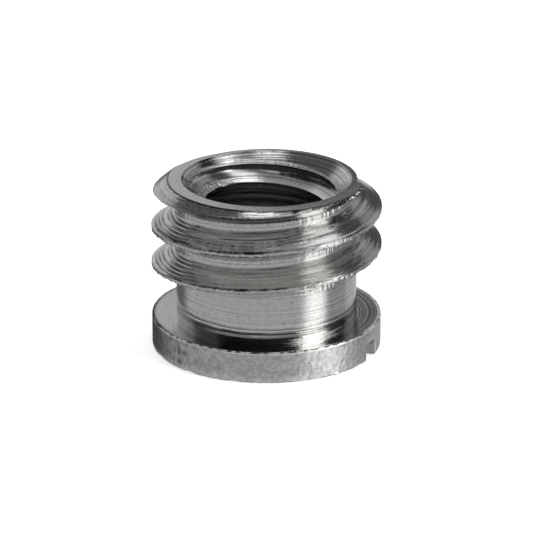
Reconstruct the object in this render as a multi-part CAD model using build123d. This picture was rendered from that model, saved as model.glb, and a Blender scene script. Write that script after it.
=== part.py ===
"""Tripod thread adapter: a flanged bush, 3/8 inch thread outside and 1/4 inch thread inside.

It is turned, threaded and slotted from one bar, so it is one solid. Millimetres, +Z up, with
the origin at the centre of the flange's underside and the screwdriver slot along X.
"""

import os
from math import ceil, radians, tan

from build123d import *
from build123d.topology import SkipClean

# Overall form, from the flange's underside up
total_height = 7.2
flange_diameter = 9.5
flange_thickness = 1.35
flange_bottom_round = 0.12
flange_top_break = 0.02

# Relief neck between the flange and the thread, where the threading tool runs out
neck_diameter = 7.46
neck_length = 2.01
neck_fillet = 0.08

# Outer thread: 3/8 inch, 16 turns to the inch, right hand
outer_diameter = 9.525
outer_pitch = 1.5875
outer_root_diameter = 7.48
outer_crest_flat = 0.12
flank_angle = 30.0
# The thread starts bluntly at the end face: degrees from +X, and its centre's height over the face there
outer_start_angle = 20.0
outer_start_rise = 0.37

# End chamfer, which cuts into the first turn of the outer thread
chamfer_inner_diameter = 8.15
chamfer_slope = 41.0

# Inner thread: 1/4 inch, 20 turns to the inch, right hand, right through
inner_diameter = 6.4
inner_pitch = 1.27
inner_bore_diameter = 5.1
inner_root_flat = 0.16
# The groove's centre crosses +X at this height
inner_groove_height = 1.09

# Countersunk mouths of the inner thread, with half angles from the axis
top_mouth_diameter = 7.03
top_mouth_half_angle = 45.0
bottom_mouth_diameter = 6.9
bottom_mouth_half_angle = 45.0

# Screwdriver slot across the flange's underside
slot_width = 0.92
slot_depth = 0.75

# Cutting shapes run this far past the faces that they cut
overrun = 0.5
# Thread sections are carried this far past the wall that they rise from or cut into
ridge_root = 0.1

shoulder_z = flange_thickness + neck_length
flank = tan(radians(flank_angle))


def ring(points):
    """A solid of revolution about Z from (radius, height) points."""
    outline = Polyline(*[(r, 0, z) for r, z in points], close=True)
    return revolve(make_face(outline), Axis.Z)


def helical_bar(points, pitch, end_angle, end_height, lowest):
    """A right-hand helical bar, as a list of quarter turns that meet end to end, from its upper end down.

    Its axial section is the (radius, height above the helix) points. The helix ends at end_angle and
    end_height, and goes down past lowest.
    """
    radius = max(r for r, _ in points)
    section = make_face(Polyline(*[(r, 0, h) for r, h in points], close=True))
    quarter = sweep(section, path=Helix(pitch, pitch / 4, radius), is_frenet=True)
    count = ceil((end_height - lowest) / pitch * 4)
    places = [Pos(Z=end_height - i * pitch / 4) * Rot(Z=end_angle - i * 90) for i in range(1, count + 1)]
    return [place * quarter for place in places]


def turned_blank():
    """Flange, neck and the thread's core, with the neck's fillet and the flange's worn edges."""
    neck_r = neck_diameter / 2
    core_r = outer_root_diameter / 2
    flange_r = flange_diameter / 2
    blank = ring(
        [
            (0, 0),
            (flange_r, 0),
            (flange_r, flange_thickness),
            (neck_r, flange_thickness),
            (neck_r, shoulder_z),
            (core_r, shoulder_z),
            (core_r, total_height),
            (0, total_height),
        ]
    )
    circles = blank.edges().filter_by(GeomType.CIRCLE)
    underside = circles.group_by(Axis.Z)[0]
    blank = fillet(underside, flange_bottom_round)
    circles = blank.edges().filter_by(GeomType.CIRCLE)
    flange_top = circles.filter_by_position(Axis.Z, flange_thickness, flange_thickness)
    rims = flange_top.sort_by(SortBy.RADIUS)
    blank = fillet(rims[0], neck_fillet)
    circles = blank.edges().filter_by(GeomType.CIRCLE)
    flange_top = circles.filter_by_position(Axis.Z, flange_thickness, flange_thickness)
    rims = flange_top.sort_by(SortBy.RADIUS)
    return chamfer(rims[-1], flange_top_break)


def outer_thread():
    """The ridge of the outer thread, trimmed by the end chamfer and by the neck's shoulder."""
    crest_r = outer_diameter / 2
    foot_r = outer_root_diameter / 2 - ridge_root
    crest = outer_crest_flat / 2
    foot = crest + (crest_r - foot_r) * flank
    ridge = helical_bar(
        [(foot_r, -foot), (crest_r, -crest), (crest_r, crest), (foot_r, foot)],
        outer_pitch,
        outer_start_angle,
        total_height + outer_start_rise,
        shoulder_z - outer_pitch,
    )
    chamfer_r = chamfer_inner_diameter / 2
    past_r = crest_r + overrun
    chamfer_drop = (past_r - chamfer_r) * tan(radians(chamfer_slope))
    inside_r = foot_r - overrun
    envelope = ring(
        [
            (inside_r, shoulder_z),
            (past_r, shoulder_z),
            (past_r, total_height - chamfer_drop),
            (chamfer_r, total_height),
            (inside_r, total_height),
        ]
    )
    trimmed = [envelope & piece for piece in ridge]
    return [piece for piece in trimmed if piece]


def inner_thread():
    """The groove of the inner thread, as cutting shapes."""
    root_r = inner_diameter / 2
    mouth_r = inner_bore_diameter / 2 - ridge_root
    root = inner_root_flat / 2
    mouth = root + (root_r - mouth_r) * flank
    turns = ceil((total_height - inner_groove_height) / inner_pitch) + 1
    return helical_bar(
        [(mouth_r, -mouth), (root_r, -root), (root_r, root), (mouth_r, mouth)],
        inner_pitch,
        0,
        inner_groove_height + turns * inner_pitch,
        -inner_pitch,
    )


def bore():
    """The tapping hole, as four cutting quarters, so that the thread's crest is patches of a quarter turn."""
    hole = make_face(
        Polyline(
            (0, 0, -overrun),
            (inner_bore_diameter / 2, 0, -overrun),
            (inner_bore_diameter / 2, 0, total_height + overrun),
            (0, 0, total_height + overrun),
            close=True,
        )
    )
    quarter = revolve(hole, Axis.Z, 90)
    return [Rot(Z=turn) * quarter for turn in (0, 90, 180, 270)]


def mouths():
    """The countersinks at both ends of the inner thread, as cutting cones that end inside the bore."""
    inside_r = inner_bore_diameter / 2 - ridge_root
    cones = []
    for diameter, half_angle, face_z, way in (
        (top_mouth_diameter, top_mouth_half_angle, total_height, -1),
        (bottom_mouth_diameter, bottom_mouth_half_angle, 0, 1),
    ):
        mouth_r = diameter / 2
        steepness = 1 / tan(radians(half_angle))
        depth = (mouth_r - inside_r) * steepness
        cones.append(
            ring(
                [
                    (0, face_z + way * depth),
                    (inside_r, face_z + way * depth),
                    (mouth_r + overrun / steepness, face_z - way * overrun),
                    (0, face_z - way * overrun),
                ]
            )
        )
    return cones


def slot():
    """The screwdriver slot, right across the underside."""
    length = flange_diameter + 2 * overrun
    return Pos(Z=slot_depth) * Box(
        length,
        slot_width,
        slot_depth + overrun,
        align=(Align.CENTER, Align.CENTER, Align.MAX),
    )


adapter = turned_blank() - slot()
adapter = adapter.fuse(*outer_thread())
with SkipClean():
    adapter = adapter.cut(*bore())
    adapter = adapter.cut(*inner_thread())
    adapter = adapter.cut(*mouths())

os.makedirs("parts", exist_ok=True)
export_step(adapter, "parts/thread_adapter_bush.step")
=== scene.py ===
from math import cos, radians, sin, tan

import bmesh
import bpy
import numpy as np
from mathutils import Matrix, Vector


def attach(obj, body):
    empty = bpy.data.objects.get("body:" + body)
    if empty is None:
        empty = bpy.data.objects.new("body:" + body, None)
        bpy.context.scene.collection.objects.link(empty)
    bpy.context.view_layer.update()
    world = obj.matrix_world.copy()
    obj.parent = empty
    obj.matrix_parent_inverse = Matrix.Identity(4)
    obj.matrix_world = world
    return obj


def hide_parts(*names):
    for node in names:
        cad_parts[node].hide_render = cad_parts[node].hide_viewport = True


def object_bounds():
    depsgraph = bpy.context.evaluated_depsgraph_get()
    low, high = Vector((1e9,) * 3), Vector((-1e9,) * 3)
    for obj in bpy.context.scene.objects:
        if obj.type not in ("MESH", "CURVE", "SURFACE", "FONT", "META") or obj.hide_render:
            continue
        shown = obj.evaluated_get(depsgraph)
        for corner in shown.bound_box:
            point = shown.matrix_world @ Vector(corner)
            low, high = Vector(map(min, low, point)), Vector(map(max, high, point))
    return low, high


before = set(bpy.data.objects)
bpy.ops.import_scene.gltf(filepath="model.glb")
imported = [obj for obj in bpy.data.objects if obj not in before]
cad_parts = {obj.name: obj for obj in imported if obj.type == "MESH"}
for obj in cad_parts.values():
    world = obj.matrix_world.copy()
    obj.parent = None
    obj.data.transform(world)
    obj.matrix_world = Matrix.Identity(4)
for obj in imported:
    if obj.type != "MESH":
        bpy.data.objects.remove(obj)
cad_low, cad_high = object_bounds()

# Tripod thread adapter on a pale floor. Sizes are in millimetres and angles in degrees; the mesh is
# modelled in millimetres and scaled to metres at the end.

MM = 0.001

# The camera looks at a point on the axis, from the photograph's angle and distance
CAMERA_AZIMUTH = 24.4
CAMERA_ELEVATION = 20.43
CAMERA_DISTANCE = 177.0
PIXELS_PER_MM = 24.15
FRAME_PIXELS = 533
AIM_HEIGHT = 3.325
SENSOR_WIDTH = 36.0
# The object's angle that faces the camera
FRONT_ANGLE = CAMERA_AZIMUTH + 270

# Turned form, as in the solid. The frame gives the height and the radius over the thread's crests
TOTAL_HEIGHT = round(cad_high[2] / MM, 2)
CREST_RADIUS = round(cad_high[0] / MM, 2)
FLANGE_RADIUS = 4.75
FLANGE_THICKNESS = 1.35
FLANGE_ROUND = 0.12
NECK_RADIUS = 3.73
SHOULDER_HEIGHT = 3.36
CHAMFER_RADIUS = 4.075
CHAMFER_SLOPE = tan(radians(41.0))
MOUTH_RADIUS = 3.515
BOTTOM_MOUTH_RADIUS = 3.45

# Outer thread
ROOT_RADIUS = 3.74
PITCH = 1.5875
CREST_HALF = 0.06
FLANK = tan(radians(30.0))
FLANK_END = CREST_HALF + (CREST_RADIUS - ROOT_RADIUS) * FLANK
# The thread starts bluntly at this angle, where its middle is this far over the end face, and the ridge
# ends over this many degrees
START_ANGLE = 20.0
START_RISE = 0.37
START_HEIGHT = TOTAL_HEIGHT + START_RISE
START_RAMP = 9.0
# The top turn's lower flank steepens towards the blunt start of the thread: angles, and its slope there
TOP_FLANK_ANGLES = (-156.0, -93.0, -66.0, -34.0, 20.0)
TOP_FLANK_SLOPES = (30.0, 35.5, 38.4, 46.0, 50.0)

# Inner thread
BORE_RADIUS = 2.55
GROOVE_RADIUS = 3.2
INNER_PITCH = 1.27
GROOVE_HEIGHT = 1.09
GROOVE_HALF = 0.08
# The groove's flanks curve into its root
GROOVE_CURVE = 1.3
GROOVE_END = GROOVE_HALF + (GROOVE_RADIUS - BORE_RADIUS) * FLANK

# Screwdriver slot, with broken corners at its bottom
SLOT_WIDTH = 0.92
SLOT_DEPTH = 0.75
SLOT_CORNER = 0.02
# How far its walls flare near the flange's underside, and at which heights
SLOT_FLARE = ((0.05, -0.5), (0.03, 0.01), (0.01, 0.03), (0, 0.06))
# How much wider and deeper it gets at its ends, and which share of that it has how far past the flange's side
SLOT_ROUND = 0.045
SLOT_ENDS = ((0.5, 1.2), (-0.01, 1.0), (-0.03, 0.4), (-0.08, 0))

# Mesh density
COLUMNS = 480
LOWER_ROWS = 10
CREST_ROWS = 3
UPPER_ROWS = 20
GROOVE_ROWS = 3
# A helical row ends this far from the plane that cuts it
NEAREST_ROW = 0.004
# Two places nearer than this are the same place
SAME_PLACE = 1e-6
# A point is on the end chamfer when it lies this near to its cone
ON_CONE = 0.001
# The chamfer counts as cutting a crest that it lowers by this much
LEAST_CUT = 0.01
# Turns that a thread's rows have beyond its length, and how many of them lie above the outer thread and
# below the inner one
SPARE_TURNS = 4
OUTER_TURNS_ABOVE = 2
INNER_TURNS_BELOW = 3
# Rows that keep a flat face flat lie this far from its edges: on the underside, inside the flange's rim,
# at the neck's foot, at the shoulder's ledge, and round the upper mouth
UNDERSIDE_INSET = 0.3
TOP_INSET = 0.15
NECK_CLEAR = 0.1
FOOT_ROW = 0.004
LEDGE_ROW = 0.008
MOUTH_ROW = 0.03
# A fold in the surface that is sharper than this stays sharp
SHARP_ANGLE = 32

# Wear of the outer thread: torn lips under the crests, nicks and rolled metal on them, steps and streaks
# on the flanks, and the pile of burr where the thread starts
LIP_DROP = 0.055
LIP_UNDERCUT = 0.075
LIP_HEIGHT = 0.07
LIP_ROLL = 0.02
# A lip is never smaller than this share of the largest. Where the chamfer cuts the crest down, the lips hang
# only this share as low, and stand out by this share of that
LEAST_LIP = 0.15
CUT_LIP = 0.6
CUT_LIP_OUT = 0.3
CREST_ROLL = 0.015
EDGE_NICK = 0.012
STREAK_DEPTH = 0.006
STEP_COUNT = 6
STEP_DEPTH = 0.05
# Past this share of each step comes its riser, which is darker. Off the stepped side, steps have this share
# of their depth
STEP_RISER = 0.68
LEAST_STEP = 0.12
START_PILE = 0.2
# The pile's middle, in degrees back from the thread's end, and its length along the helix
PILE_BACK = 13
PILE_LENGTH = 14
# Unevenness that all rows of the thread share: degrees along the helix between its knots, and its seed
SHARED_NOISE = {
    "lips": (1.1, 5),
    "lip_groups": (7, 6),
    "nicks": (0.8, 8),
    "nick_groups": (5, 9),
    "line_grain": (3, 77),
}
# Unevenness that differs from row to row: degrees between its knots, and what it adds to the row's seed
ROW_NOISE = {
    "streaks": (14, 0),
    "jags": (1.1, 0),
    "pile_grain": (1.6, 0),
    "pile_groups": (4, 1),
    "crest_grime": (0.9, 2),
    "flank_pits": (1.5, 3),
    "scores_and_shade": (30, 4),
    "pile_grime": (1.2, 5),
}
# Noise along the helix comes round again after this many knots
HELIX_KNOTS = 4096
# Unevenness round the turned faces: knots in a full turn, and its seed, to which a row adds a number of its
# own
ROUND_NOISE = {
    "chips": (70, 11),
    "small_chips": (240, 12),
    "blisters": (90, 0),
    "side_pits": (300, 0),
    "rim_rise": (150, 21),
    "rim_tears": (180, 22),
    "top_wave": (24, 30),
    "neck_wave": (40, 60),
    "neck_darkening": (40, 80),
    "mouth_burr": (180, 41),
}
# Which way marks go into a flank and into the end chamfer's cone: outward, and along the axis
FLANK_NORMAL = (0.5, 0.87)
CHAMFER_NORMAL = (0.66, 0.75)
# Arcs of the outer thread, as bells: degrees to the right of the front, and width
STREAKED_ARC = (66, 26)
TORN_ARC = (100, 50)
# The crest's black line is darkest in this arc, which faces the camera: there it is a painted dark reflection
DARK_REFLECTION_ARC = (-14, 28)
PITTED_ARC = (-58, 24)
STAINED_ARC = (-62, 30)
# The middle of the stepped side, and how far from there the steps begin to fade and are gone
STEPPED_SIDE = -90
STEPS_FADE = (30, 60)
# The middle turn's upper flank is scored on its right, and painted shade in the scores tones down the
# highlight there: where it sets in, and where it fades
SHADED_SCORES_SET_IN = (14, 24)
SHADED_SCORES_FADE = (42, 54)
# Lines across the same flank: share of the way from crest to root, rise, and where they start and end, in
# degrees to the right of the front
FLANK_LINES = ((0.3, 0.006, -14, 48), (0.6, -0.002, -30, 10), (0.9, -0.002, -25, 10))
LINE_FADE = 8
# A stained band at its left: from and to this share of the way from crest to root
DARK_BAND = (0.06, 0.24)
# Small pits lie in this share of each flank, next to the crest
PITTED_SHARE = 0.2
# Width of the dark line round the end face
EDGE_LINE = 0.05
# Marks fade out over these heights, next to the shoulder and the end face
SHOULDER_FADE = 0.1
TOP_FADE = 0.05

# Dents, as an angle to the right of the front and a height, with the size in both and the depth
NOTCHES = ((16, 7.09),)
NOTCH_SIZE = (1.8, 0.07)
NOTCH_DEPTH = 0.05
NECK_DENTS = ((-13.5, 2.80), (-8.4, 2.78), (10.3, 2.34))
NECK_DENT_SIZE = (1.2, 0.1)
SIDE_DENTS = ((-66.6, 0.62), (-34.7, 0.84), (-25.2, 0.775))
SIDE_DENT_SIZE = (1.3, 0.14)
DENT_DEPTH = 0.03

# Flange: levels of its side, and arcs as bells, in degrees to the right of the front
SIDE_LEVELS = (0.34, 0.56, 0.78, 1.0, 1.2)
EDGE_BENDS = (0, 30, 60, 90)
EDGE_BURR = 0.07
EDGE_BURR_ARC = (37.8, 1.6)
BLISTER_DEPTH = 0.03
BLISTERED_ARC = (30, 16)
# Painted shade darkens the flange side's left, away from the softbox, in this arc
SIDE_SHADE_ARC = (-82, 26)
PITTED_SIDE_ARC = (-50, 22)
FAR_ARC = (180, 105)
# The rim of its top, from the side inwards: inset, share of the torn rim's rise, drop, roughness over that
# of the bright faces, and grime. It is dark where the noise of its tears rises past these levels
RIM_RISE = 0.035
RIM_TEARS = (-0.35, 0.25)
SIDE_HAZE = 0.23
RIM = (
    (0, 0, 0.07, SIDE_HAZE, 0),
    (0, 0, 0.02, 0.1, 0.8),
    (0.01, 0.6, 0, 0, 1),
    (0.045, 0.3, 0, 0, 0.9),
    (0.085, 0, 0, 0, 0),
)
TOP_ROWS = 7
TOP_GROOVE = 0.001
TOP_WAVE = 0.0006

# Neck: its levels, the two tool grooves at its foot, darker levels, and the arc that is polished smooth
NECK_LEVELS = (1.5, 1.64, 1.7, 1.76, 1.8, 1.84, 1.89, 1.93, 1.98, 2.2, 2.34, 2.55, 2.8, 3.05, 3.25)
NECK_GROOVES = {1.7: 0.014, 1.93: 0.009}
NECK_DARK_LEVELS = (1.7, 1.8, 1.93)
NECK_WAVE = 0.002
TOOLED_NECK = (1.6, 2.0)
SMOOTH_ARC = (-5, 45)

# Burrs where the inner thread leaves the countersinks
MOUTH_BURR = 0.035
MOUTH_EDGE = 0.004

# How strongly tool lines show on each face, and what some of its arcs add to that
LINING = {
    "lower_mouth": 0.5,
    "flange_edge": 0.3,
    "flange_side": 0.1,
    "flange_top": 0.12,
    "flange_top_far": 0.6,
    "neck_foot": 0.15,
    "neck": 0.1,
    "neck_lined": 0.4,
    "neck_tooled": 0.5,
    "shoulder": 0.3,
    "root": 0.1,
    "lower_flank": 0.8,
    "crest": 0.4,
    "upper_flank": 0.22,
    "upper_flank_stepped": 0.9,
    "upper_flank_streaked": 1.1,
    "chamfer": 0.3,
    "chamfer_stepped": 0.3,
    "end_face": 0.25,
}
# How torn the metal is
BURR = {"lip_underside": 0.2, "lip": 0.8, "cut_lip": 0.6, "crest": 0.35, "cut_crest": 0.1}
# How dark each mark is with grease, and with painted shade where noted: the flange side's left, the scores in
# the middle turn's highlight, and the crest's black line where it faces the camera. Those over 1 are black
# nearly to their edges
GRIME_AND_SHADE = {
    "flange_side": 0.08,
    "side_painted_shade": 0.75,
    "side_pits": 0.6,
    "neck_darkening": 0.8,
    "lip": 0.2,
    "cut_lip": 0.8,
    "torn_crest": 0.9,
    "flank_edge": 1.8,
    "below_flank_edge": 1.1,
    "flank_pits": 0.8,
    "steps": 0.65,
    "scores_and_shade": 0.35,
    "stained_band": 0.65,
    "flank_lines": 1.1,
    "start_pile": 1.4,
    "notch": 1.4,
    "chamfer_edge": 0.8,
    "end_face_edge": 1.0,
    "upper_mouth": 0.3,
}
# Tool lines across a cone are told apart by radius, this many times as close as along a wall
CONE_LINES = 1.5
# The rim and the underside each lie at one place across the tool lines, and so show none
RIM_LINE = 1.3
UNDERSIDE_LINE = 4.0

# The plate's patterns, as how many specks or lines of each come to a millimetre. Real tool lines are about
# 0.02 mm apart; the coarsest are drawn 0.1 mm apart, so that pixels can hold them. Pits, grains and tears
# are drawn coarser than the real ones too, at about two pixels each
LINES_PER_MM = 10
DRIFTS_PER_MM = 0.15
ARCS_PER_MM = 0.33
MOTTLES_PER_MM = 5
BLOTCHES_PER_MM = 6
PITS_PER_MM = 9
GRAINS_PER_MM = 11
TEARS_PER_MM = 14
# Depth of the bump where a pattern is at full strength, and the patterns' strengths: grain on plain and on
# torn metal, and mottle where the surface is hazy
LINE_DEPTH = 0.011
PLAIN_GRAIN = 0.25
TORN_GRAIN = 2.0
HAZY_MOTTLE = 9.0
# How far the tool lines wander, and how much deeper they are cut in some arcs than in others
LINE_DRIFT = 0.8
ARC_STRENGTH = 1.6
# The plate in its tool lines and between them, and the dark colour of grease and of painted shade that
# darkens it
DULL_PLATE = "#6B6B69"
BRIGHT_PLATE = "#E0E0DE"
GREASE_AND_SHADE = "#201F1D"
# How strongly tool lines and blotches change the plate's shade, on plain and on hazy metal, and the levels
# at which the dull and the bright colour are reached
LINE_SHADE = 2.6
PLAIN_BLOTCH = 0.3
HAZY_BLOTCH = 2.5
DULL_LEVEL = -0.55
BRIGHT_LEVEL = 0.4
# Levels of the noise at which pits and the gaps of torn metal set in and are full, and how dark they get
PIT_LEVELS = (0.67, 0.76)
GAP_LEVELS = (0.46, 0.56)
PIT_DARKNESS = 0.7
GAP_DARKNESS = 0.7
# Roughness of the plate, and what its tool lines add to it
PLATE_ROUGHNESS = 0.07
LINE_ROUGHNESS = 0.14

# Matt paint of the table in the open, the darker grey painted as its shade under the object, and the white of
# lights
TABLE_PAINT = "#E6E6E6"
PAINTED_SHADE_GREY = "#8A8A8A"
WHITE = "#FFFFFF"

# The studio round the object, as the metal sees it: azimuths from the camera, positive to its right,
# elevations, brightness, and how many degrees wide its soft edge is. Later panels lie over earlier ones.
PANELS = (
    ("table", (-180, 180), (-90, -2), 0.6, 4),
    ("near_table", (-80, 45), (-75, -28), 0.76, 8),
    ("table_behind_left", (-180, -126), (-60, -1), 0.16, 26),
    ("room_behind_left", (-180, -110), (-2, 55), 0.68, 2),
    ("left_wall", (-131, -95), (26, 50), 0.13, 7),
    ("room_behind_right", (125, 180), (-2, 55), 0.42, 4),
    ("dark_doorway", (153, 180), (-2, 27), 0.1, 5),
    ("left_board", (-104, -66), (0, 45), 0.12, 4),
    ("high_left_board", (-125, -46), (38, 82), 0.13, 12),
    ("camera_side", (-66, 46), (0, 46), 0.008, 3),
    ("back_right_board", (100, 147), (38, 58), 0.09, 4),
    ("back_right_light", (112, 136), (57, 76), 2.1, 6),
    ("back_light", (147, 165), (50, 65), 3.0, 6),
    ("softbox_foot", (51, 80), (-50, 2), 1.8, 20),
    ("softbox_on_table", (51, 80), (-58, -26), 2.3, 8),
    ("right_softbox", (46, 80), (-1, 52), 5.0, 3),
    ("right_board", (80, 122), (0, 46), 0.03, 3),
    ("right_table_edge", (84, 122), (-40, 0), 0.42, 8),
    ("top_right_light", (78, 112), (49, 70), 1.2, 5),
    ("top_light", (-58, 36), (70, 86), 1.9, 5),
)
CEILING_BRIGHTNESS = 0.37

# The table top: its radius, how far it and the disc of painted shade lie under the object, how bright the
# open floor is made for the camera, and the radii between which that brightness sets in, fading towards the
# object's foot as a painted shadow
FLOOR_RADIUS = 2000
FLOOR_DROP = 0.003
SHADE_DROP = 0.002
FLOOR_GLOW = 0.78
SHADE_GLOW = 0.25
GLOW_FROM = 3.2
GLOW_TO = 5.2
DISC_CORNERS = 96

turn_angles = np.arange(COLUMNS) * 360 / COLUMNS


def knot_noise(place, seed, period):
    """Smooth seeded noise from -1 to 1 along a line whose knots are one apart."""
    level = np.random.default_rng(seed).uniform(-1, 1, period)
    low = np.floor(place).astype(int)
    t = place - low
    t = t * t * (3 - 2 * t)
    return level[low % period] * (1 - t) + level[(low + 1) % period] * t


def shared_noise(kind, along):
    """Noise along the helix that is the same for all rows."""
    spacing, seed = SHARED_NOISE[kind]
    return knot_noise(along / spacing, seed, HELIX_KNOTS)


def round_noise(kind, row=0):
    """Noise round a full turn."""
    knots, seed = ROUND_NOISE[kind]
    return knot_noise(turn_angles * knots / 360, seed + row, knots)


def clamp(value):
    """The value, kept between 0 and 1."""
    return np.clip(value, 0, 1)


def from_front(angle):
    """Degrees from the side that faces the camera, from -180 to 180, positive to its right."""
    return (angle - FRONT_ANGLE + 180) % 360 - 180


def bell(value, centre, width):
    """1 at the centre, and falls smoothly to nothing on both sides."""
    return np.exp(-(((value - centre) / width) ** 2))


def ramp(value, start, end):
    """Rises smoothly from 0 at start to 1 at end."""
    t = clamp((value - start) / (end - start))
    return t * t * (3 - 2 * t)


def dents(front, height, places, size):
    """How far into these dents each point lies, from 0 outside to 1 in the middle."""
    return sum(bell(front, angle, size[0]) * bell(height, level, size[1]) for angle, level in places)


# What each vertex tells the material, with its usual value: the place across the tool lines, roughness over
# that of the bright faces, how strongly the tool lines show, how torn the metal is, and how dark with trapped
# grease and with painted shade and painted dark reflections
MARKS = {"tool_line": 0.0, "haze": 0.0, "lining": 1.0, "burr": 0.0, "grime": 0.0}


class Surface:
    """Rows of vertices round the axis, joined into one closed mesh."""

    def __init__(self):
        self.count = 0
        self.places = []
        self.marks = {name: [] for name in MARKS}
        self.faces = []

    def points(self, angles, radius, height, marks):
        """Adds vertices and returns their numbers."""
        count = len(angles)
        turn = np.radians(angles)
        place = (radius * np.cos(turn), radius * np.sin(turn), np.broadcast_to(height, count))
        self.places.append(np.column_stack(place))
        for name, usual in MARKS.items():
            self.marks[name].append(np.broadcast_to(marks.get(name, usual), count))
        first = self.count
        self.count += count
        return np.arange(first, self.count)

    def row(self, radius, height, **marks):
        """Adds one ring."""
        return self.points(turn_angles, radius, height, marks)

    def radius_of(self, ids):
        """How far these vertices lie from the axis."""
        place = np.concatenate(self.places)[ids]
        return np.hypot(place[:, 0], place[:, 1])

    def join(self, lower, upper, after_lower=None, after_upper=None, flip=False):
        """Faces between two rows. The last column meets the first, or the rows named as coming after."""
        next_lower = np.append(lower[1:], (lower if after_lower is None else after_lower)[0])
        next_upper = np.append(upper[1:], (upper if after_upper is None else after_upper)[0])
        for corners in zip(lower, next_lower, next_upper, upper):
            kept = [int(c) for i, c in enumerate(corners) if c != corners[i - 1]]
            if len(kept) > 2:
                self.faces.append(kept[::-1] if flip else kept)

    def helix(self, radius, height, marks, per_turn, rings, levels, flip=False):
        """Joins helical rows. Vertices that lie past the low or high level become that level's ring."""
        low, high = levels
        rows = []
        for k in range(len(radius)):
            columns = np.flatnonzero((height[k] > low + NEAREST_ROW) & (height[k] < high - NEAREST_ROW))
            ids = np.where(height[k] <= (low + high) / 2, *rings)
            there = {name: values[k][columns] for name, values in marks.items()}
            ids[columns] = self.points(turn_angles[columns], radius[k][columns], height[k][columns], there)
            rows.append(ids)
        for k in range(len(rows) - 1 - per_turn):
            self.join(rows[k], rows[k + 1], rows[k + per_turn], rows[k + 1 + per_turn], flip)


def at_height(radius, height, level):
    """Each column's radius where its profile crosses a level."""
    return np.array([np.interp(level, height[:, j], radius[:, j]) for j in range(COLUMNS)])


def outer_rows():
    """Heights over the helix of the rows of one turn, from the middle of one root to the next."""
    in_root = (PITCH / 2 + FLANK_END) / 2
    return np.concatenate(
        [
            [-PITCH / 2, -in_root],
            np.linspace(-FLANK_END, -CREST_HALF, LOWER_ROWS, endpoint=False),
            np.linspace(-CREST_HALF, CREST_HALF, CREST_ROWS, endpoint=False),
            np.linspace(CREST_HALF, FLANK_END, UPPER_ROWS, endpoint=False),
            [FLANK_END, in_root],
        ]
    )


def cone_radius(height):
    """Radius of the end chamfer's cone."""
    return CHAMFER_RADIUS + (TOTAL_HEIGHT - height) / CHAMFER_SLOPE


def outer_point(along, h):
    """Radius and height at angles along the helix, for the row at height h over it."""
    centre = START_HEIGHT + (along - START_ANGLE) / 360 * PITCH
    slope = np.tan(np.radians(np.interp(along, TOP_FLANK_ANGLES, TOP_FLANK_SLOPES)))
    foot = centre - FLANK_END
    # The lower flank ends at the crest's radius, or where it meets the chamfer's cone before that
    rise = TOTAL_HEIGHT + CHAMFER_RADIUS * CHAMFER_SLOPE - foot + ROOT_RADIUS * slope
    edge_radius = np.minimum(rise / (CHAMFER_SLOPE + slope), CREST_RADIUS)
    edge_height = foot + (edge_radius - ROOT_RADIUS) * slope
    if h <= -CREST_HALF:
        t = max(0, (h + FLANK_END) / (FLANK_END - CREST_HALF))
        radius = ROOT_RADIUS + t * (edge_radius - ROOT_RADIUS)
        height = foot + min(0, h + FLANK_END) + t * (edge_height - foot)
    else:
        t = (h + CREST_HALF) / (PITCH / 2 + CREST_HALF)
        height = edge_height + t * (centre + PITCH / 2 - edge_height)
        flank = CREST_RADIUS - (height - centre - CREST_HALF) / FLANK
        radius = np.minimum(np.minimum(flank, cone_radius(height)), CREST_RADIUS)
        radius = np.maximum(radius, ROOT_RADIUS)
    return radius, height


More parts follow.
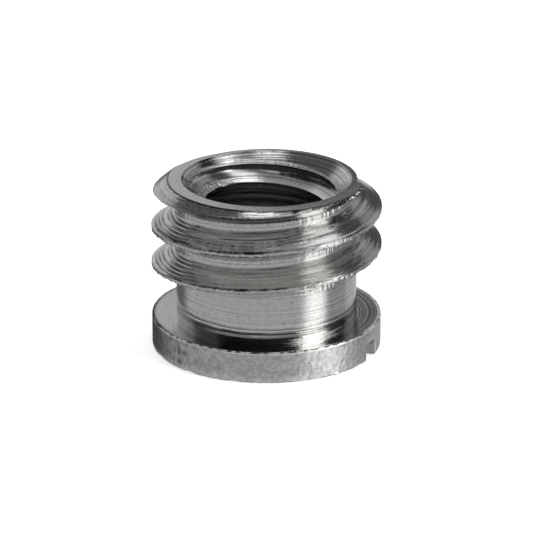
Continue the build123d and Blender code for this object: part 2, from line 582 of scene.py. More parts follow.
class Wear:
    """Tool marks, burrs and dents of one row of the outer thread, and what they tell the material."""

    def __init__(self, along, h, radius, height):
        self.along = along
        self.h = h
        self.radius = radius
        self.height = height
        self.front = from_front(along)
        # A row has the same seed in every turn
        self.seed = int(round((h + PITCH) * 1000))
        self.d_radius = np.zeros(COLUMNS)
        self.d_height = np.zeros(COLUMNS)
        self.lining = np.full(COLUMNS, LINING["root"])
        self.burr = np.zeros(COLUMNS)
        self.grime = np.zeros(COLUMNS)
        # The chamfer cuts the top turn down, and that turn's crest and upper flank lie on its cone
        self.cut = cone_radius(height) < CREST_RADIUS - LEAST_CUT
        self.on_chamfer = (h > -CREST_HALF) & (radius > cone_radius(height) - ON_CONE)
        self.middle_turn = (along > START_ANGLE - 720) & (along <= START_ANGLE - 360)
        self.left = 1 - ramp(np.abs(self.front - STEPPED_SIDE), *STEPS_FADE)
        self.right = bell(self.front, *STREAKED_ARC)
        self.torn_side = bell(self.front, *TORN_ARC)
        self.start = bell(along, START_ANGLE - PILE_BACK, PILE_LENGTH)
        self.streak = STREAK_DEPTH * (1 + self.right) * self.noise("streaks")
        # Lips and nicks run across all rows of the crest
        lip = 0.55 + 0.5 * shared_noise("lips", along) + 0.4 * shared_noise("lip_groups", along)
        self.lip = np.clip(lip, LEAST_LIP, 1)
        nick = shared_noise("nicks", along) + 0.5 * shared_noise("nick_groups", along)
        self.nick = EDGE_NICK * (1 + 2 * self.torn_side) * clamp(nick)
        pile = self.noise("pile_grain") + 0.5 * self.noise("pile_groups")
        self.pile = START_PILE * self.start * clamp(pile)
        jagged = 0.45 + 0.55 * ramp(self.lip + 0.6 * self.noise("jags"), 0.3, 0.8)
        # The crest's black line: torn metal, and a painted dark reflection in the arc that faces the camera
        self.torn_edge_and_reflection = (0.05 + 0.95 * bell(self.front, *DARK_REFLECTION_ARC)) * jagged

    def noise(self, kind):
        """Noise of this row's own."""
        spacing, layer = ROW_NOISE[kind]
        return knot_noise(self.along / spacing, self.seed + layer, HELIX_KNOTS)

    def lower_flank(self):
        """Streaks, with the underside of the torn lip next to the crest."""
        outward, axial = FLANK_NORMAL
        self.d_radius += outward * self.streak + self.pile
        self.d_height -= axial * self.streak
        self.lining[:] = LINING["lower_flank"]
        if -CREST_HALF - self.h < LIP_HEIGHT:
            self.d_height += LIP_UNDERCUT * self.lip
            self.burr[:] = BURR["lip_underside"]

    def lip_edge(self):
        """The crest's lower edge, which hangs down as a torn lip."""
        drop = np.where(self.cut, CUT_LIP, 1.0) * LIP_DROP * self.lip
        roll = LIP_ROLL * (1 - self.lip) + self.nick
        self.d_height -= drop
        self.d_radius -= np.where(self.cut, -CUT_LIP_OUT * drop, roll) - self.pile
        self.burr += np.where(self.cut, BURR["cut_lip"], BURR["lip"])
        self.grime += np.where(self.cut, GRIME_AND_SHADE["cut_lip"], GRIME_AND_SHADE["lip"]) * self.torn_edge_and_reflection

    def rolled_metal(self):
        """Rolled and nicked metal of the crest and of the root below it. The crest's upper half has a jagged
        black line of torn metal, darkest in the arc that faces the camera, where it is a painted dark
        reflection."""
        open_crest = np.where(self.on_chamfer, 0.0, 1.0)
        self.d_radius += np.where(self.on_chamfer, self.streak, -CREST_ROLL * (1 - self.lip) - self.nick)
        self.lining[:] = LINING["crest"]
        self.burr += np.where(self.on_chamfer, BURR["cut_crest"], BURR["crest"])
        spots = clamp(self.noise("crest_grime"))
        self.grime += GRIME_AND_SHADE["torn_crest"] * open_crest * self.torn_side * spots
        self.grime += open_crest * self.torn_edge_and_reflection * (self.h > 0)

    def upper_flank(self):
        """Steps of the threading tool on the left, streaks on the right, and scores darkened with painted
        shade, lines and stains.
        """
        t = (self.h - CREST_HALF) / (FLANK_END - CREST_HALF)
        open_flank = np.where(self.on_chamfer, 0.0, 1.0)
        step = t * STEP_COUNT % 1
        deep = self.streak - step * STEP_DEPTH * (LEAST_STEP + (1 - LEAST_STEP) * self.left)
        (outward, axial), (cone_outward, cone_axial) = FLANK_NORMAL, CHAMFER_NORMAL
        self.d_radius += np.where(self.on_chamfer, cone_outward * self.streak, outward * deep)
        self.d_height += np.where(self.on_chamfer, cone_axial * self.streak, axial * deep)
        flank_lining = LINING["upper_flank"] + LINING["upper_flank_stepped"] * self.left
        flank_lining = flank_lining + LINING["upper_flank_streaked"] * self.right
        cone_lining = LINING["chamfer"] + LINING["chamfer_stepped"] * self.left
        self.lining = np.where(self.on_chamfer, cone_lining, flank_lining)
        self.grime += GRIME_AND_SHADE["steps"] * open_flank * self.left * (step > STEP_RISER)
        # The two rows next to the crest carry its black line on
        if t < 1.5 / UPPER_ROWS:
            edge = GRIME_AND_SHADE["flank_edge"] if t == 0 else GRIME_AND_SHADE["below_flank_edge"]
            self.grime += open_flank * edge * self.torn_edge_and_reflection
        if t < PITTED_SHARE:
            pits = clamp(self.noise("flank_pits"))
            self.grime += GRIME_AND_SHADE["flank_pits"] * pits * bell(self.front, *PITTED_ARC)
        self.middle_flank(t)

    def middle_flank(self, t):
        """What only the middle turn's upper flank has, at this share of the way from crest to root."""
        # Painted shade darkens the scores in the highlight, so that only the ridges between them are bright
        shaded_scores = ramp(self.front, *SHADED_SCORES_SET_IN) * (1 - ramp(self.front, *SHADED_SCORES_FADE))
        scores_and_shade = clamp(0.9 - 1.4 * self.noise("scores_and_shade"))
        self.grime += GRIME_AND_SHADE["scores_and_shade"] * self.middle_turn * shaded_scores * scores_and_shade
        if DARK_BAND[0] < t < DARK_BAND[1]:
            self.grime += GRIME_AND_SHADE["stained_band"] * self.middle_turn * bell(self.front, *STAINED_ARC)
        for level, rise, first, last in FLANK_LINES:
            if abs(t - level) < 0.5 / UPPER_ROWS:
                here = self.middle_turn * ramp(self.front, first, first + LINE_FADE)
                here = here * (1 - ramp(self.front, last, last + LINE_FADE))
                self.d_height += rise * here
                grain = 0.5 * shared_noise("line_grain", self.along)
                self.grime += (rise < 0) * here * (GRIME_AND_SHADE["flank_lines"] + grain)

    def start_pile(self):
        """The torn metal where the thread starts."""
        self.burr = np.maximum(self.burr, self.start)
        self.grime += GRIME_AND_SHADE["start_pile"] * self.start * clamp(self.noise("pile_grime"))

    def chamfer_marks(self):
        """The notch in the end chamfer, and the dark line round the end face."""
        notch = dents(self.front, self.height, NOTCHES, NOTCH_SIZE)
        self.d_radius -= NOTCH_DEPTH * notch
        self.grime += GRIME_AND_SHADE["notch"] * notch
        near_top = np.abs(self.height - TOTAL_HEIGHT) < EDGE_LINE
        self.grime += GRIME_AND_SHADE["chamfer_edge"] * (self.on_chamfer & near_top)

    def apply(self):
        """Wears the row, by where it lies on the ridge, and returns what the material is told."""
        if -FLANK_END < self.h < -CREST_HALF - SAME_PLACE:
            self.lower_flank()
        elif abs(self.h + CREST_HALF) < SAME_PLACE:
            self.lip_edge()
        elif self.h < CREST_HALF:
            self.rolled_metal()
        elif self.h < FLANK_END:
            self.upper_flank()
        self.start_pile()
        if self.h > -CREST_HALF:
            self.chamfer_marks()
        return {
            "tool_line": np.where(self.on_chamfer, CONE_LINES * self.radius, abs(self.h)),
            "haze": np.zeros(COLUMNS),
            "lining": self.lining,
            "burr": self.burr,
            "grime": clamp(self.grime),
        }


def outer_thread(surface, low_ring_of, high_ring_of):
    """The worn ridge, between the neck's shoulder and the end face. Returns the rings at both."""
    row_heights = outer_rows()
    turns = int(np.ceil((TOTAL_HEIGHT - SHOULDER_HEIGHT) / PITCH)) + SPARE_TURNS
    radius, height, worn = [], [], []
    marks = {name: [] for name in MARKS}
    for turn in range(turns):
        along = turn_angles + 360 * (turn - turns + OUTER_TURNS_ABOVE)
        left_over = 1 - ramp(along, START_ANGLE - START_RAMP, START_ANGLE)
        for h in row_heights:
            r, z = outer_point(along, h)
            wear = Wear(along, h, r, z)
            for name, values in wear.apply().items():
                marks[name].append(values)
            radius.append(ROOT_RADIUS + left_over * (r - ROOT_RADIUS))
            height.append(z)
            worn.append((wear.d_radius * left_over, wear.d_height * left_over, wear.start))
    radius, height = np.array(radius), np.array(height)
    low_ring = low_ring_of(at_height(radius, height, SHOULDER_HEIGHT))
    high_ring = high_ring_of(at_height(radius, height, TOTAL_HEIGHT))
    for k, (d_radius, d_height, start) in enumerate(worn):
        free = ramp(height[k], SHOULDER_HEIGHT, SHOULDER_HEIGHT + SHOULDER_FADE)
        # Marks fade out under the end face, but the burr at the thread's start hangs over its edge
        free = free * np.maximum(ramp(TOTAL_HEIGHT - height[k], 0, TOP_FADE), start)
        radius[k] = np.minimum(radius[k] + d_radius * free, CREST_RADIUS)
        height[k] = height[k] + d_height * free
    levels = (SHOULDER_HEIGHT, TOTAL_HEIGHT)
    surface.helix(radius, height, marks, len(row_heights), (low_ring, high_ring), levels)
    return low_ring, high_ring


def inner_rows():
    """Heights over the groove's centre of the rows of one turn, from the middle of one crest to the next."""
    half = INNER_PITCH / 2
    return np.concatenate(
        [
            [-half, -(half + GROOVE_END) / 2],
            np.linspace(-GROOVE_END, -GROOVE_HALF, GROOVE_ROWS, endpoint=False),
            [-GROOVE_HALF, 0],
            np.linspace(GROOVE_HALF, GROOVE_END, GROOVE_ROWS, endpoint=False),
            [GROOVE_END, (half + GROOVE_END) / 2],
        ]
    )


def inner_radii(height, h):
    """Radius of the tapped wall, and of the countersinks, at points that lie h over the groove's centre."""
    groove = GROOVE_RADIUS - (np.abs(h) - GROOVE_HALF) / FLANK
    depth = clamp((groove - BORE_RADIUS) / (GROOVE_RADIUS - BORE_RADIUS))
    wall = GROOVE_RADIUS - (GROOVE_RADIUS - BORE_RADIUS) * (1 - depth) ** GROOVE_CURVE
    top = MOUTH_RADIUS - (TOTAL_HEIGHT - height)
    bottom = BOTTOM_MOUTH_RADIUS - height
    return wall, np.maximum(top, bottom)


def snap_to_mouths(height, h):
    """Moves rows a little, so that one lies where the tapped wall meets a countersink."""
    wall, mouth = inner_radii(height, h)
    gap = wall - mouth
    for k in range(len(height) - 1):
        crossing = gap[k] * gap[k + 1] < 0
        t = np.where(crossing, gap[k] / np.where(crossing, gap[k] - gap[k + 1], 1), 0)
        for row, chosen, shift in ((k, crossing & (t < 0.5), t), (k + 1, crossing & (t >= 0.5), t - 1)):
            height_step = (height[k + 1] - height[k]) * shift
            across_step = (h[k + 1] - h[k]) * shift
            height[row] = np.where(chosen, height[row] + height_step, height[row])
            h[row] = np.where(chosen, h[row] + across_step, h[row])
    return height, h


def inner_thread(surface, low_ring, high_ring):
    """The tapped wall between the two mouths, with burrs where it meets the countersinks."""
    row_heights = inner_rows()
    turns = int(np.ceil(TOTAL_HEIGHT / INNER_PITCH)) + SPARE_TURNS
    height, across = [], []
    for turn in range(turns):
        centre = GROOVE_HEIGHT + (turn_angles / 360 + turn - INNER_TURNS_BELOW) * INNER_PITCH
        for h in row_heights:
            height.append(centre + h)
            across.append(np.full(COLUMNS, h))
    height, across = snap_to_mouths(np.array(height), np.array(across))
    wall, mouth = inner_radii(height, across)
    at_edge = np.abs(wall - mouth) < MOUTH_EDGE
    torn = clamp(round_noise("mouth_burr"))
    radius = np.maximum(wall, mouth) - at_edge * MOUTH_BURR * torn
    marks = {
        "tool_line": np.where(mouth > wall, CONE_LINES * mouth, np.abs(across)),
        "burr": at_edge * torn,
    }
    levels = (0, TOTAL_HEIGHT)
    surface.helix(radius, height, marks, len(row_heights), (low_ring, high_ring), levels, flip=True)


def flange_edge(surface):
    """The rounded, chipped lower edge of the flange."""
    front = from_front(turn_angles)
    chips = clamp(1.6 * round_noise("chips") - 0.3)
    chips = chips + 0.6 * clamp(round_noise("small_chips"))
    burr = EDGE_BURR * bell(front, *EDGE_BURR_ARC)
    rows = []
    for bend in EDGE_BENDS:
        radius = FLANGE_RADIUS - FLANGE_ROUND + FLANGE_ROUND * sin(radians(bend))
        height = FLANGE_ROUND * (1 - cos(radians(bend)))
        line = CONE_LINES * radius + height
        radius = radius - 2 * EDGE_NICK * chips + (burr if 0 < bend < 90 else 0)
        height = height + 3 * EDGE_NICK * chips * (1 - bend / 90)
        marks = {"tool_line": line, "haze": SIDE_HAZE * bend / 90, "lining": LINING["flange_edge"]}
        rows.append(surface.row(radius, height, **marks))
    return rows


def flange_side(surface):
    """The hazy side, blistered under the softbox's reflection, pitted on the left and darkened there with
    painted shade.
    """
    front = from_front(turn_angles)
    rows = []
    for height in SIDE_LEVELS:
        blisters = BLISTER_DEPTH * clamp(round_noise("blisters", int(height * 100)))
        dip = blisters * bell(front, *BLISTERED_ARC)
        dip = dip + DENT_DEPTH * dents(front, height, SIDE_DENTS, SIDE_DENT_SIZE)
        pits = clamp(1.5 * round_noise("side_pits", int(height * 70)) - 0.4)
        # Painted shade on the side's left, away from the softbox
        dark = GRIME_AND_SHADE["flange_side"] + GRIME_AND_SHADE["side_painted_shade"] * bell(front, *SIDE_SHADE_ARC)
        dark = dark + GRIME_AND_SHADE["side_pits"] * pits * bell(front, *PITTED_SIDE_ARC)
        marks = {"tool_line": height, "haze": SIDE_HAZE, "lining": LINING["flange_side"], "grime": dark}
        rows.append(surface.row(FLANGE_RADIUS - dip, height, **marks))
    return rows


def flange_top(surface):
    """The torn rim, and the turned face inside it."""
    front = from_front(turn_angles)
    rise = RIM_RISE * clamp(0.5 + 0.6 * round_noise("rim_rise"))
    torn = ramp(round_noise("rim_tears"), *RIM_TEARS)
    rows = []
    for inset, share, drop, haze, dark in RIM:
        height = FLANGE_THICKNESS - drop + share * rise
        marks = {"tool_line": RIM_LINE, "haze": haze, "burr": min(1, 2 * share), "grime": dark * torn}
        rows.append(surface.row(FLANGE_RADIUS - inset, height, **marks))
    shown = LINING["flange_top"] + LINING["flange_top_far"] * bell(front, *FAR_ARC)
    for i, radius in enumerate(np.linspace(FLANGE_RADIUS - TOP_INSET, NECK_RADIUS + NECK_CLEAR, TOP_ROWS)):
        wave = TOP_WAVE * round_noise("top_wave", i) - TOP_GROOVE * (i % 2)
        rows.append(surface.row(radius, FLANGE_THICKNESS + wave, tool_line=radius, lining=shown))
    foot = NECK_RADIUS + FOOT_ROW
    rows.append(surface.row(foot, FLANGE_THICKNESS, tool_line=NECK_RADIUS, lining=LINING["neck_foot"]))
    return rows


def neck_rows(surface):
    """The relief neck, with tool grooves and darker rows at its foot, and small dents."""
    front = from_front(turn_angles)
    rows = []
    for i, height in enumerate(NECK_LEVELS):
        dip = NECK_GROOVES.get(height, 0) + NECK_WAVE * round_noise("neck_wave", i)
        dip = dip + DENT_DEPTH * dents(front, height, NECK_DENTS, NECK_DENT_SIZE)
        tooled = TOOLED_NECK[0] < height < TOOLED_NECK[1]
        shown = LINING["neck"] + LINING["neck_lined"] * (1 - bell(front, *SMOOTH_ARC))
        shown = shown + LINING["neck_tooled"] * tooled
        darkening = (height in NECK_DARK_LEVELS) * (0.65 + 0.35 * round_noise("neck_darkening", i))
        marks = {"tool_line": height, "lining": shown, "grime": GRIME_AND_SHADE["neck_darkening"] * darkening}
        rows.append(surface.row(NECK_RADIUS - dip, height, **marks))
    marks = {"tool_line": SHOULDER_HEIGHT, "lining": LINING["shoulder"]}
    rows.append(surface.row(NECK_RADIUS, SHOULDER_HEIGHT, **marks))
    return rows


def end_face(surface, high_ring):
    """Rings from the thread in to the upper mouth."""
    rings = [high_ring]
    edge = GRIME_AND_SHADE["upper_mouth"]
    inner = ((CHAMFER_RADIUS - EDGE_LINE, 0), (MOUTH_RADIUS + MOUTH_ROW, 0), (MOUTH_RADIUS, edge))
    for radius, grime in inner:
        # Where the chamfer cuts into a root, each ring stays inside the one before
        radius = np.minimum(radius, surface.radius_of(high_ring) - (CHAMFER_RADIUS - radius) * 0.2)
        marks = {"tool_line": CONE_LINES * radius, "lining": LINING["end_face"], "grime": grime}
        rings.append(surface.row(radius, TOTAL_HEIGHT, **marks))
    return rings


def bush_mesh():
    """The whole adapter but the slot, in millimetres."""
    surface = Surface()
    rows = [surface.row(BOTTOM_MOUTH_RADIUS, 0, lining=LINING["lower_mouth"])]
    rows.append(surface.row(FLANGE_RADIUS - UNDERSIDE_INSET, 0, tool_line=UNDERSIDE_LINE))
    rows += flange_edge(surface) + flange_side(surface) + flange_top(surface) + neck_rows(surface)

    def low_ring_of(radius):
        """The ring where the thread comes down to the neck's shoulder."""
        radius = np.maximum(radius, NECK_RADIUS + LEDGE_ROW)
        return surface.row(radius, SHOULDER_HEIGHT, tool_line=PITCH / 2, lining=LINING["root"])

    def high_ring_of(radius):
        """The ring where the thread and its chamfer come up to the end face."""
        marks = {"tool_line": CONE_LINES * radius, "lining": LINING["end_face"]}
        return surface.row(radius, TOTAL_HEIGHT, grime=GRIME_AND_SHADE["end_face_edge"], **marks)

    low_ring, high_ring = outer_thread(surface, low_ring_of, high_ring_of)
    rings = end_face(surface, high_ring)
    rows.append(low_ring)
    for lower, upper in zip(rows, rows[1:]):
        surface.join(lower, upper)
    for outer, inner in zip(rings, rings[1:]):
        surface.join(outer, inner)
    inner_thread(surface, rows[0], rings[-1])
    mesh = bpy.data.meshes.new("thread_adapter")
    mesh.from_pydata(np.concatenate(surface.places), [], surface.faces)
    for name, values in surface.marks.items():
        layer = mesh.attributes.new(name, "FLOAT", "POINT")
        layer.data.foreach_set("value", np.concatenate(values))
    mesh.validate()
    return mesh


def slot_outline(flare):
    """Section of the slot's cutter, widened all round by its flare."""
    wall = SLOT_WIDTH / 2 + flare
    floor_height = SLOT_DEPTH + flare
    run = [(wall + past, z) for past, z in SLOT_FLARE]
    run += [(wall, floor_height - SLOT_CORNER), (wall - SLOT_CORNER, floor_height)]
    return run + [(-y, z) for y, z in reversed(run)]


def slot_cutter():
    """The screwdriver slot along X, flared a little at the flange's edges and underside."""
    stations = [(-FLANGE_RADIUS - past, SLOT_ROUND * share) for past, share in SLOT_ENDS]
    stations += [(FLANGE_RADIUS + past, SLOT_ROUND * share) for past, share in reversed(SLOT_ENDS)]
    bm = bmesh.new()
    rings = [[bm.verts.new((x, y, z)) for y, z in slot_outline(flare)] for x, flare in stations]
    for one, other in zip(rings, rings[1:]):
        for i in range(len(one)):
            k = (i + 1) % len(one)
            bm.faces.new((one[i], one[k], other[k], other[i]))
    bm.faces.new(rings[0][::-1])
    bm.faces.new(rings[-1])
    bmesh.ops.recalc_face_normals(bm, faces=bm.faces)
    mesh = bpy.data.meshes.new("slot_cutter")
    bm.to_mesh(mesh)
    bm.free()
    # The slot is milled, so it is hazier than the turned faces
    layer = mesh.attributes.new("haze", "FLOAT", "POINT")
    layer.data.foreach_set("value", [SIDE_HAZE] * len(mesh.vertices))
    return mesh


def link(name, data):
    """A new object in the scene, made of this data."""
    obj = bpy.data.objects.new(name, data)
    bpy.context.scene.collection.objects.link(obj)
    return obj


def build_bush():
    """The adapter with its slot, scaled to metres."""
    body = link("adapter_body", bush_mesh())
    cutter = link("slot_cutter", slot_cutter())
    cut = body.modifiers.new("slot", "BOOLEAN")
    cut.operation = "DIFFERENCE"
    cut.solver = "EXACT"
    cut.object = cutter
    graph = bpy.context.evaluated_depsgraph_get()
    mesh = bpy.data.meshes.new_from_object(body.evaluated_get(graph))
    bpy.data.objects.remove(body)
    bpy.data.objects.remove(cutter)
    mesh.transform(((MM, 0, 0, 0), (0, MM, 0, 0), (0, 0, MM, 0), (0, 0, 0, 1)))
    mesh.shade_smooth()
    mesh.set_sharp_from_angle(angle=radians(SHARP_ANGLE))
    return link("thread_adapter_body", mesh)


def linear(hex_color):
    """An sRGB hex colour as linear RGBA."""
    channels = [int(hex_color[i : i + 2], 16) / 255 for i in (1, 3, 5)]
    return tuple(c / 12.92 if c <= 0.04045 else ((c + 0.055) / 1.055) ** 2.4 for c in channels) + (1,)


def add(tree, kind, inputs=None, **settings):
    """Adds a shader node with its settings. Its inputs are given in order, or by name, and each is a number,
    a tuple, the output linked to it, or a node, which stands for its first output."""
    made = tree.nodes.new("ShaderNode" + kind)
    for name, value in settings.items():
        setattr(made, name, value)
    given = inputs.items() if isinstance(inputs, dict) else enumerate(inputs or ())
    for socket, value in given:
        if isinstance(value, bpy.types.Node):
            value = value.outputs[0]
        if isinstance(value, bpy.types.NodeSocket):
            tree.links.new(value, made.inputs[socket])
        else:
            made.inputs[socket].default_value = value
    return made


def new_material(name):
    """A new material and its node tree, which is empty."""
    material = bpy.data.materials.new(name)
    material.use_nodes = True
    material.node_tree.nodes.clear()
    return material, material.node_tree


def tool_lines(tree, place, tool_line):
    """How deep the turning tool's lines are, which wander a little along the axis."""
    drift = add(tree, "TexNoise", {"Vector": place, "Scale": DRIFTS_PER_MM / MM, "Detail": 2.0})
    shift = add(tree, "Math", (drift, LINE_DRIFT), operation="MULTIPLY")
    across = add(tree, "Math", (tool_line, LINES_PER_MM, shift), operation="MULTIPLY_ADD")
    return add(tree, "TexNoise", {"W": across, "Scale": 1.0, "Detail": 4.0}, noise_dimensions="1D")


def plate_relief(tree, place, marks, lines, shown):
    """Bump of the tool lines, of fine grain, coarser where the metal is torn, and of the milled haze."""
    cut = add(tree, "Math", (lines, shown), operation="MULTIPLY")
    grain = add(tree, "TexNoise", {"Vector": place, "Scale": GRAINS_PER_MM / MM, "Detail": 3.0})
    coarse = add(tree, "Math", (marks["burr"], TORN_GRAIN, PLAIN_GRAIN), operation="MULTIPLY_ADD")
    grain = add(tree, "Math", (grain, coarse), operation="MULTIPLY")
    mottle = add(tree, "TexNoise", {"Vector": place, "Scale": MOTTLES_PER_MM / MM, "Detail": 3.0})
    mottle = add(tree, "Math", (mottle, marks["haze"]), operation="MULTIPLY")
    height = add(tree, "Math", (cut, grain), operation="ADD")
    height = add(tree, "Math", (mottle, HAZY_MOTTLE, height), operation="MULTIPLY_ADD")
    return add(tree, "Bump", {"Height": height, "Strength": 1.0, "Distance": LINE_DEPTH * MM})


def plate_colour(tree, place, marks, lines, shown):
    """Brighter between the tool lines, with a film of grease and dust in them, and uneven where hazy."""
    worn = add(tree, "Math", (lines, 0.5), operation="SUBTRACT")
    worn = add(tree, "Math", (worn, shown), operation="MULTIPLY")
    uneven = add(tree, "Math", (marks["haze"], HAZY_BLOTCH, PLAIN_BLOTCH), operation="MULTIPLY_ADD")
    blotch = add(tree, "TexNoise", {"Vector": place, "Scale": BLOTCHES_PER_MM / MM, "Detail": 4.0})
    blotch = add(tree, "Math", (blotch, 0.5), operation="SUBTRACT")
    blotch = add(tree, "Math", (blotch, uneven), operation="MULTIPLY")
    shade = add(tree, "Math", (worn, LINE_SHADE, blotch), operation="MULTIPLY_ADD")
    shade = add(tree, "MapRange", {"Value": shade, "From Min": DULL_LEVEL, "From Max": BRIGHT_LEVEL})
    ends = {"Factor": shade, "A": linear(DULL_PLATE), "B": linear(BRIGHT_PLATE)}
    return add(tree, "Mix", ends, data_type="RGBA").outputs["Result"]


def dark_marks(tree, place, marks):
    """Small pits all over, gaps in the torn metal along the crests, and grease and painted shade."""
    pits = add(tree, "TexNoise", {"Vector": place, "Scale": PITS_PER_MM / MM, "Detail": 2.0})
    pits = {"Value": pits, "From Min": PIT_LEVELS[0], "From Max": PIT_LEVELS[1], "To Max": PIT_DARKNESS}
    pits = add(tree, "MapRange", pits)
    gaps = add(tree, "TexNoise", {"Vector": place, "Scale": TEARS_PER_MM / MM, "Detail": 2.0})
    gaps = add(tree, "MapRange", {"Value": gaps, "From Min": GAP_LEVELS[0], "From Max": GAP_LEVELS[1]})
    strength = add(tree, "Math", (marks["burr"], GAP_DARKNESS), operation="MULTIPLY")
    gaps = add(tree, "Math", (gaps, strength), operation="MULTIPLY")
    torn = add(tree, "Math", (pits, gaps), operation="MAXIMUM")
    return add(tree, "Math", (torn, marks["grime"]), operation="MAXIMUM")


def nickel_plate():
    """Bright nickel over turned metal: a cool light grey mirror with fine tool lines round the axis,
    a little haze between them and small pits. The eye gets sharp dark and light reflections, broken
    into lines that follow the turning."""
    material, tree = new_material("bright_nickel_plate")
    place = add(tree, "TexCoord").outputs["Object"]
    marks = {name: add(tree, "Attribute", attribute_name=name).outputs["Fac"] for name in MARKS}
    lines = tool_lines(tree, place, marks["tool_line"])
    # The lines are cut deeper in some arcs than in others
    arcs = add(tree, "TexNoise", {"Vector": place, "Scale": ARCS_PER_MM / MM, "Detail": 1.0})
    arcs = add(tree, "Math", (arcs, ARC_STRENGTH), operation="MULTIPLY")
    shown = add(tree, "Math", (arcs, marks["lining"]), operation="MULTIPLY")
    colour = plate_colour(tree, place, marks, lines, shown)
    # Grease and painted shade darken the plate towards one dark colour
    dirt_and_shade = {"Factor": dark_marks(tree, place, marks), "A": colour, "B": linear(GREASE_AND_SHADE)}
    dirty_and_shaded = add(tree, "Mix", dirt_and_shade, data_type="RGBA").outputs["Result"]
    rough = add(tree, "Math", (lines, LINE_ROUGHNESS, PLATE_ROUGHNESS), operation="MULTIPLY_ADD")
    rough = add(tree, "Math", (rough, marks["haze"]), operation="ADD")
    relief = plate_relief(tree, place, marks, lines, shown)
    look = {"Base Color": dirty_and_shaded, "Metallic": 1.0, "Roughness": rough, "Normal": relief}
    add(tree, "OutputMaterial", {"Surface": add(tree, "BsdfPrincipled", look)})
    return material


def white_table_paint():
    """Matt white paint on the table top. The camera sees it white, with the object's soft shadow in it,
    deepened round the object's foot by a painted shadow where the glow fades out.
    """
    material, tree = new_material("matt_white_table_paint")
    path = add(tree, "LightPath").outputs
    seen = add(tree, "Math", (path["Is Camera Ray"], path["Is Glossy Ray"]), operation="MAXIMUM")
    seen = add(tree, "Math", (seen, path["Is Transmission Ray"]), operation="MAXIMUM")
    # Under the object and just round its foot the glow fades out: a painted shadow, over the paint's real
    # shade
    place = add(tree, "TexCoord").outputs["Object"]
    from_axis = add(tree, "VectorMath", (place,), operation="LENGTH").outputs["Value"]
    reach = {"Value": from_axis, "From Min": GLOW_FROM * MM, "From Max": GLOW_TO * MM}
    outside_painted_shadow = add(tree, "MapRange", reach, interpolation_type="SMOOTHSTEP")
    seen = add(tree, "Math", (seen, outside_painted_shadow), operation="MULTIPLY")
    strength = add(tree, "Math", (seen, FLOOR_GLOW), operation="MULTIPLY")
    paint = add(tree, "BsdfDiffuse", {"Color": linear(TABLE_PAINT)})
    glow = add(tree, "Emission", {"Color": linear(WHITE), "Strength": strength})
    both = add(tree, "AddShader", (paint, glow))
    # From below, the camera looks through the floor at the flange's underside
    back = add(tree, "NewGeometry").outputs["Backfacing"]
    faced = add(tree, "MixShader", (back, both, add(tree, "BsdfTransparent")))
    add(tree, "OutputMaterial", {"Surface": faced})
    return material


def painted_table_shade():
    """Painted shade: a darker grey with a faint glow that stands in for the table paint in the object's
    shade, as the metal sees it down the bore and in the slot.
    """
    material, tree = new_material("painted_table_shade")
    paint = add(tree, "BsdfDiffuse", {"Color": linear(PAINTED_SHADE_GREY)})
    glow = add(tree, "Emission", {"Color": linear(WHITE), "Strength": SHADE_GLOW})
    add(tree, "OutputMaterial", {"Surface": add(tree, "AddShader", (paint, glow))})
    return material


def panel_mask(tree, azimuth, elevation, sides, softness):
    """1 inside a panel of the studio and 0 outside, with soft edges."""
    (left, right), (bottom, top) = sides
    mask = 1.0
    edges = ((azimuth, left, 1), (azimuth, right, -1), (elevation, bottom, 1), (elevation, top, -1))
    for value, edge, inward in edges:
        # A panel that reaches the end of the range has no edge there
        if abs(edge) in (90, 180):
            continue
        soft = inward * softness / 2
        span = {"Value": value, "From Min": radians(edge - soft), "From Max": radians(edge + soft)}
        step = add(tree, "MapRange", span, interpolation_type="SMOOTHSTEP")
        mask = add(tree, "Math", (step, mask), operation="MULTIPLY")
    return mask


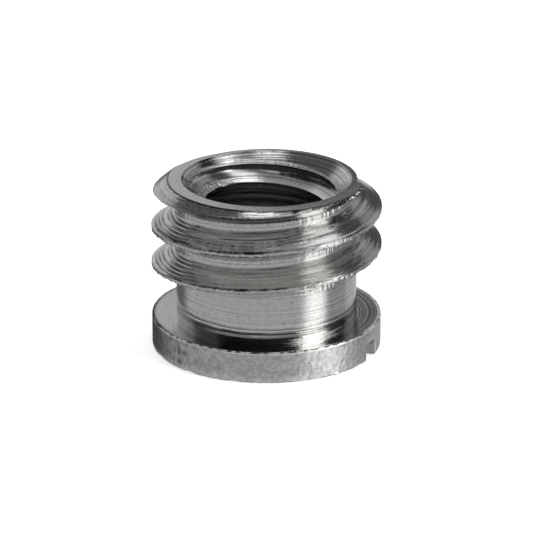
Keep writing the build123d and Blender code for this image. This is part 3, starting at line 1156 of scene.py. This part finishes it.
def studio_world():
    """The panels round the object, with white behind it for the camera."""
    world = bpy.data.worlds.new("studio")
    bpy.context.scene.world = world
    world.use_nodes = True
    tree = world.node_tree
    tree.nodes.clear()
    way = add(tree, "TexCoord").outputs["Generated"]
    turn = {"Vector": way, "Angle": radians(-CAMERA_AZIMUTH)}
    turned = add(tree, "VectorRotate", turn, rotation_type="Z_AXIS")
    xyz = add(tree, "SeparateXYZ", (turned,)).outputs
    toward = add(tree, "Math", (xyz["Y"], -1.0), operation="MULTIPLY")
    azimuth = add(tree, "Math", (xyz["X"], toward), operation="ARCTAN2")
    elevation = add(tree, "Math", (xyz["Z"],), operation="ARCSINE")
    level = CEILING_BRIGHTNESS
    for name, across, up, brightness, softness in PANELS:
        mask = panel_mask(tree, azimuth, elevation, (across, up), softness)
        level = add(tree, "Mix", {"Factor": mask, "A": level, "B": brightness}, data_type="FLOAT")
        level.label = name
    path = add(tree, "LightPath").outputs
    strength = add(tree, "Mix", {"Factor": path["Is Camera Ray"], "A": level, "B": 1.0}, data_type="FLOAT")
    background = add(tree, "Background", {"Color": linear(WHITE), "Strength": strength})
    add(tree, "OutputWorld", {"Surface": background})


def disc(name, radius, drop, material):
    """A level disc that far under the object, which is part of the studio."""
    bm = bmesh.new()
    bmesh.ops.create_circle(bm, cap_ends=True, radius=radius, segments=DISC_CORNERS)
    bmesh.ops.translate(bm, verts=bm.verts, vec=(0, 0, -drop))
    mesh = bpy.data.meshes.new(name)
    bm.to_mesh(mesh)
    bm.free()
    mesh.materials.append(material)
    obj = link(name, mesh)
    return obj


def floor():
    """A broad round table top, just under the object."""
    top = disc("floor", FLOOR_RADIUS * MM, FLOOR_DROP * MM, white_table_paint())
    # The metal sees the studio's table panel there, which is as bright as the photograph's table
    top.visible_glossy = False
    # but inside the bore and the slot it sees a disc of painted shade under the object
    under = disc("painted_shade_under_bore", FLANGE_RADIUS * MM, SHADE_DROP * MM, painted_table_shade())
    for ray in ("camera", "diffuse", "shadow", "transmission"):
        setattr(under, "visible_" + ray, False)


def camera():
    """The photograph's view, as a perspective camera at its angle and distance."""
    azimuth = radians(CAMERA_AZIMUTH)
    elevation = radians(CAMERA_ELEVATION)
    toward = Vector((sin(azimuth) * cos(elevation), -cos(azimuth) * cos(elevation), sin(elevation)))
    lens = bpy.data.cameras.new("camera")
    lens.sensor_width = SENSOR_WIDTH
    lens.lens = PIXELS_PER_MM * CAMERA_DISTANCE * SENSOR_WIDTH / FRAME_PIXELS
    lens.clip_start = MM
    obj = link("camera", lens)
    obj.location = Vector((0, 0, AIM_HEIGHT * MM)) + toward * CAMERA_DISTANCE * MM
    obj.rotation_euler = (-toward).to_track_quat("-Z", "Y").to_euler()
    bpy.context.scene.camera = obj


bush = build_bush()
bush.data.materials.clear()
bush.data.materials.append(nickel_plate())
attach(bush, "root")
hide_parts("thread_adapter_bush")
floor()
studio_world()
camera()
bpy.context.scene.view_settings.view_transform = "Standard"
